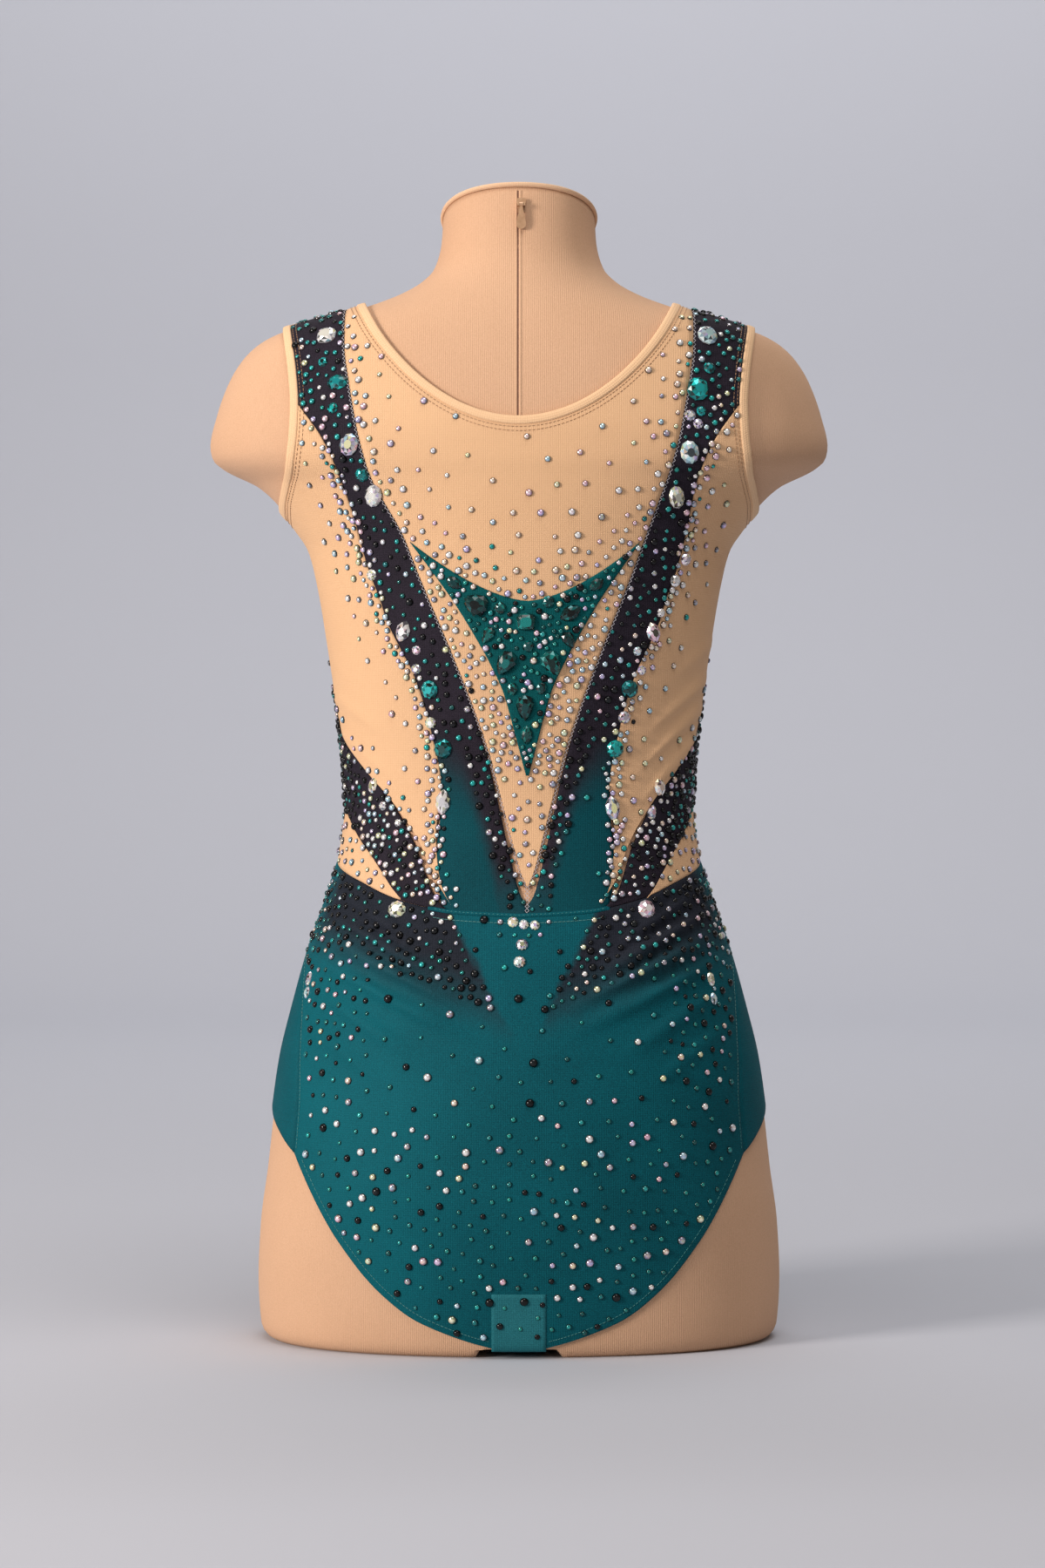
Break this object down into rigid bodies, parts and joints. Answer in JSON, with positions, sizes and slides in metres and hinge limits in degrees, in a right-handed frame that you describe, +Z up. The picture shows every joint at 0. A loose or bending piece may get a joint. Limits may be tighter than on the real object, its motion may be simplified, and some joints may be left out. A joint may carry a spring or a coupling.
{
  "type": "rhythmic gymnastics leotard on a limbless dress form",
  "caption": "Sleeveless gymnastics leotard with mesh yoke, dark V bands, jewelled applique and high-cut brief, worn by a limbless jersey dress form with a back zip.",
  "frame": {"origin": "middle of the footprint on the floor, under the thigh bottoms", "axes": "+Z up, +Y towards the front of the body, +X to the right as seen from the back"},
  "size_m": [0.4036, 0.2298, 0.7455],
  "materials": {
    "jersey": "fine vertical knit ribs, matt",
    "piping": "matt woven piping",
    "nudeMesh": "sheer stretch mesh",
    "nudeBinding": "folded stretch binding",
    "blackKnit": "smooth lycra knit, satin",
    "tealKnit": "smooth lycra knit, satin",
    "tealApplique": "foil lycra covered with stones",
    "tealGusset": "smooth lycra knit, satin",
    "zipMetal": "tinted plated metal"
  },
  "bodies": {
    "form_and_leotard": {"dress_form": "jersey", "neck_cap": "piping", "zip_slider": "zipMetal", "neck_binding": "nudeBinding", "back_yoke": "nudeMesh", "back_kite": "tealApplique", "armhole_binding_left": "nudeBinding", "band_left": "blackKnit", "side_mesh_left": "nudeMesh", "side_wedge_left": "blackKnit", "waist_mesh_left": "nudeMesh", "armhole_binding_right": "nudeBinding", "band_right": "blackKnit", "side_mesh_right": "nudeMesh", "side_wedge_right": "blackKnit", "waist_mesh_right": "nudeMesh", "brief_back": "tealKnit", "brief_front": "tealKnit", "gusset": "tealGusset", "front_body": "blackKnit", "front_yoke": "nudeMesh"},
    "zip_pull": {"zip_pull": "zipMetal"}
  },
  "joints": [
    {"name": "zip_pull_swing", "type": "hinge", "parent": "form_and_leotard", "child": "zip_pull", "pos_m": [0.0015, -0.04963, 0.73087], "axis": [-1, 0, 0], "range_deg": [0, 150]}
  ]
}
